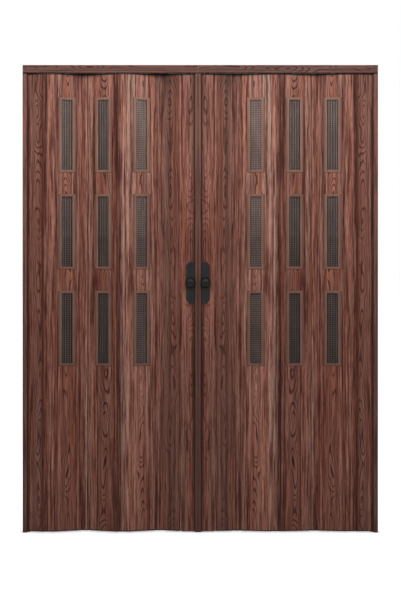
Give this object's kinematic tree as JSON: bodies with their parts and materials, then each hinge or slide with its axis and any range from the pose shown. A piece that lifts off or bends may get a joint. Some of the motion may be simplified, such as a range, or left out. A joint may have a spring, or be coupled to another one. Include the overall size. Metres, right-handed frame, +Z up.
{
  "type": "accordion closet door",
  "caption": "Accordion closet door in wood-grain plastic: hinged slats with windows fold back from the middle to each jamb under a head track.",
  "frame": {"origin": "on the floor, at the middle of the doorway's width and of the track's depth", "axes": "+X to the right and +Y to the back as seen from the front, +Z up; the front faces -Y"},
  "size_m": [1.5584, 0.0836, 2.05],
  "materials": {
    "profile_foil": "extruded plastic profile with reddish-brown wood-grain foil, satin",
    "slat_foil": "hollow extruded plastic slat with reddish-brown wood-grain foil, satin",
    "strip_foil": "plastic hinge strip with reddish-brown wood-grain foil, satin",
    "stile_foil": "hollow plastic stile with reddish-brown wood-grain foil, satin",
    "window_trim": "moulded light brown plastic trim, satin",
    "window_pane": "reeded translucent grey plastic pane",
    "glider": "white nylon",
    "handle_plate": "black lacquer, semi-gloss",
    "knob": "black lacquer, semi-gloss",
    "bare_steel": "zinc-plated steel"
  },
  "bodies": {
    "frame": {"track_left": "profile_foil", "track_right": "profile_foil", "jamb_left": "profile_foil", "jamb_right": "profile_foil"},
    "jamb_half_slat_left": {"jamb_half_slat_left": "slat_foil"},
    "slat_1_left": {"slat_1_left": "slat_foil", "window_trims_1_left": "window_trim", "window_panes_1_left": "window_pane", "hanger_1_left": "glider"},
    "glider_1_left": {"glider_1_left": "glider"},
    "slat_2_left": {"slat_2_left": "slat_foil", "window_trims_2_left": "window_trim", "window_panes_2_left": "window_pane", "hanger_2_left": "glider"},
    "glider_2_left": {"glider_2_left": "glider"},
    "slat_3_left": {"slat_3_left": "slat_foil", "window_trims_3_left": "window_trim", "window_panes_3_left": "window_pane", "hanger_3_left": "glider"},
    "glider_3_left": {"glider_3_left": "glider"},
    "strip_1_left": {"strip_1_left": "strip_foil"},
    "strip_2_left": {"strip_2_left": "strip_foil"},
    "strip_3_left": {"strip_3_left": "strip_foil"},
    "strip_4_left": {"strip_4_left": "strip_foil"},
    "lead_half_slat_left": {"lead_half_slat_left": "slat_foil"},
    "lead_left": {"lead_stile_left": "stile_foil", "lead_post_left": "stile_foil", "stile_gliders_left": "glider", "handle_plates_left": "handle_plate"},
    "knobs_left": {"knobs_left": "knob", "knob_spindle_left": "bare_steel", "latch_hook_left": "bare_steel"},
    "jamb_half_slat_right": {"jamb_half_slat_right": "slat_foil"},
    "slat_1_right": {"slat_1_right": "slat_foil", "window_trims_1_right": "window_trim", "window_panes_1_right": "window_pane", "hanger_1_right": "glider"},
    "glider_1_right": {"glider_1_right": "glider"},
    "slat_2_right": {"slat_2_right": "slat_foil", "window_trims_2_right": "window_trim", "window_panes_2_right": "window_pane", "hanger_2_right": "glider"},
    "glider_2_right": {"glider_2_right": "glider"},
    "slat_3_right": {"slat_3_right": "slat_foil", "window_trims_3_right": "window_trim", "window_panes_3_right": "window_pane", "hanger_3_right": "glider"},
    "glider_3_right": {"glider_3_right": "glider"},
    "strip_1_right": {"strip_1_right": "strip_foil"},
    "strip_2_right": {"strip_2_right": "strip_foil"},
    "strip_3_right": {"strip_3_right": "strip_foil"},
    "strip_4_right": {"strip_4_right": "strip_foil"},
    "lead_half_slat_right": {"lead_half_slat_right": "slat_foil"},
    "lead_right": {"lead_stile_right": "stile_foil", "lead_post_right": "stile_foil", "stile_gliders_right": "glider", "handle_plates_right": "handle_plate", "knobs_right": "knob", "knob_spindle_right": "bare_steel", "latch_keep_right": "bare_steel"}
  },
  "joints": [
    {"name": "fold_left", "type": "hinge", "parent": "frame", "child": "jamb_half_slat_left", "pos_m": [-0.75118, 0, 1.025], "axis": [0, 0, -1], "range_deg": [0, 76]},
    {"name": "hinge_2_left", "type": "hinge", "parent": "jamb_half_slat_left", "child": "strip_1_left", "pos_m": [-0.69031, -0.01978, 1.025], "axis": [0, 0, 1], "range_deg": [0, 76]},
    {"name": "hinge_3_left", "type": "hinge", "parent": "strip_1_left", "child": "slat_1_left", "pos_m": [-0.64831, -0.01978, 1.025], "axis": [0, 0, 1], "range_deg": [0, 76]},
    {"name": "hinge_4_left", "type": "hinge", "parent": "slat_1_left", "child": "strip_2_left", "pos_m": [-0.52658, 0.01978, 1.025], "axis": [0, 0, -1], "range_deg": [0, 76]},
    {"name": "hinge_5_left", "type": "hinge", "parent": "strip_2_left", "child": "slat_2_left", "pos_m": [-0.48458, 0.01978, 1.025], "axis": [0, 0, -1], "range_deg": [0, 76]},
    {"name": "hinge_6_left", "type": "hinge", "parent": "slat_2_left", "child": "strip_3_left", "pos_m": [-0.36284, -0.01978, 1.025], "axis": [0, 0, 1], "range_deg": [0, 76]},
    {"name": "hinge_7_left", "type": "hinge", "parent": "strip_3_left", "child": "slat_3_left", "pos_m": [-0.32084, -0.01978, 1.025], "axis": [0, 0, 1], "range_deg": [0, 76]},
    {"name": "hinge_8_left", "type": "hinge", "parent": "slat_3_left", "child": "strip_4_left", "pos_m": [-0.19911, 0.01978, 1.025], "axis": [0, 0, -1], "range_deg": [0, 76]},
    {"name": "hinge_9_left", "type": "hinge", "parent": "strip_4_left", "child": "lead_half_slat_left", "pos_m": [-0.15711, 0.01978, 1.025], "axis": [0, 0, -1], "range_deg": [0, 76]},
    {"name": "hinge_10_left", "type": "hinge", "parent": "lead_half_slat_left", "child": "lead_left", "pos_m": [-0.09624, 0, 1.025], "axis": [0, 0, 1], "range_deg": [0, 76]},
    {"name": "glider_turn_1_left", "type": "hinge", "parent": "slat_1_left", "child": "glider_1_left", "pos_m": [-0.58744, 0, 2.021], "axis": [0, 0, -1], "range_deg": [0, 76]},
    {"name": "glider_turn_2_left", "type": "hinge", "parent": "slat_2_left", "child": "glider_2_left", "pos_m": [-0.42371, 0, 2.021], "axis": [0, 0, 1], "range_deg": [0, 76]},
    {"name": "glider_turn_3_left", "type": "hinge", "parent": "slat_3_left", "child": "glider_3_left", "pos_m": [-0.25997, 0, 2.021], "axis": [0, 0, -1], "range_deg": [0, 76]},
    {"name": "fold_right", "type": "hinge", "parent": "frame", "child": "jamb_half_slat_right", "pos_m": [0.75118, 0, 1.025], "axis": [0, 0, 1], "range_deg": [0, 86]},
    {"name": "hinge_2_right", "type": "hinge", "parent": "jamb_half_slat_right", "child": "strip_1_right", "pos_m": [0.6878, -0.00891, 1.025], "axis": [0, 0, -1], "range_deg": [0, 86]},
    {"name": "hinge_3_right", "type": "hinge", "parent": "strip_1_right", "child": "slat_1_right", "pos_m": [0.6458, -0.00891, 1.025], "axis": [0, 0, -1], "range_deg": [0, 86]},
    {"name": "hinge_4_right", "type": "hinge", "parent": "slat_1_right", "child": "strip_2_right", "pos_m": [0.51905, 0.00891, 1.025], "axis": [0, 0, 1], "range_deg": [0, 86]},
    {"name": "hinge_5_right", "type": "hinge", "parent": "strip_2_right", "child": "slat_2_right", "pos_m": [0.47705, 0.00891, 1.025], "axis": [0, 0, 1], "range_deg": [0, 86]},
    {"name": "hinge_6_right", "type": "hinge", "parent": "slat_2_right", "child": "strip_3_right", "pos_m": [0.35029, -0.00891, 1.025], "axis": [0, 0, -1], "range_deg": [0, 86]},
    {"name": "hinge_7_right", "type": "hinge", "parent": "strip_3_right", "child": "slat_3_right", "pos_m": [0.30829, -0.00891, 1.025], "axis": [0, 0, -1], "range_deg": [0, 86]},
    {"name": "hinge_8_right", "type": "hinge", "parent": "slat_3_right", "child": "strip_4_right", "pos_m": [0.18154, 0.00891, 1.025], "axis": [0, 0, 1], "range_deg": [0, 86]},
    {"name": "hinge_9_right", "type": "hinge", "parent": "strip_4_right", "child": "lead_half_slat_right", "pos_m": [0.13954, 0.00891, 1.025], "axis": [0, 0, 1], "range_deg": [0, 86]},
    {"name": "hinge_10_right", "type": "hinge", "parent": "lead_half_slat_right", "child": "lead_right", "pos_m": [0.07616, 0, 1.025], "axis": [0, 0, -1], "range_deg": [0, 86]},
    {"name": "glider_turn_1_right", "type": "hinge", "parent": "slat_1_right", "child": "glider_1_right", "pos_m": [0.58242, 0, 2.021], "axis": [0, 0, 1], "range_deg": [0, 86]},
    {"name": "glider_turn_2_right", "type": "hinge", "parent": "slat_2_right", "child": "glider_2_right", "pos_m": [0.41367, 0, 2.021], "axis": [0, 0, -1], "range_deg": [0, 86]},
    {"name": "glider_turn_3_right", "type": "hinge", "parent": "slat_3_right", "child": "glider_3_right", "pos_m": [0.24492, 0, 2.021], "axis": [0, 0, 1], "range_deg": [0, 86]},
    {"name": "knob_turn_left", "type": "hinge", "parent": "lead_left", "child": "knobs_left", "pos_m": [-0.04324, 0, 1.095], "axis": [0, -1, 0], "range_deg": [0, 90]}
  ],
  "couplings": [
    {"joint": "hinge_2_left", "follows": "fold_left", "ratio": 1},
    {"joint": "hinge_3_left", "follows": "fold_left", "ratio": 1},
    {"joint": "hinge_4_left", "follows": "fold_left", "ratio": 1},
    {"joint": "hinge_5_left", "follows": "fold_left", "ratio": 1},
    {"joint": "hinge_6_left", "follows": "fold_left", "ratio": 1},
    {"joint": "hinge_7_left", "follows": "fold_left", "ratio": 1},
    {"joint": "hinge_8_left", "follows": "fold_left", "ratio": 1},
    {"joint": "hinge_9_left", "follows": "fold_left", "ratio": 1},
    {"joint": "hinge_10_left", "follows": "fold_left", "ratio": 1},
    {"joint": "glider_turn_1_left", "follows": "fold_left", "ratio": 1},
    {"joint": "glider_turn_2_left", "follows": "fold_left", "ratio": 1},
    {"joint": "glider_turn_3_left", "follows": "fold_left", "ratio": 1},
    {"joint": "hinge_2_right", "follows": "fold_right", "ratio": 1},
    {"joint": "hinge_3_right", "follows": "fold_right", "ratio": 1},
    {"joint": "hinge_4_right", "follows": "fold_right", "ratio": 1},
    {"joint": "hinge_5_right", "follows": "fold_right", "ratio": 1},
    {"joint": "hinge_6_right", "follows": "fold_right", "ratio": 1},
    {"joint": "hinge_7_right", "follows": "fold_right", "ratio": 1},
    {"joint": "hinge_8_right", "follows": "fold_right", "ratio": 1},
    {"joint": "hinge_9_right", "follows": "fold_right", "ratio": 1},
    {"joint": "hinge_10_right", "follows": "fold_right", "ratio": 1},
    {"joint": "glider_turn_1_right", "follows": "fold_right", "ratio": 1},
    {"joint": "glider_turn_2_right", "follows": "fold_right", "ratio": 1},
    {"joint": "glider_turn_3_right", "follows": "fold_right", "ratio": 1}
  ]
}
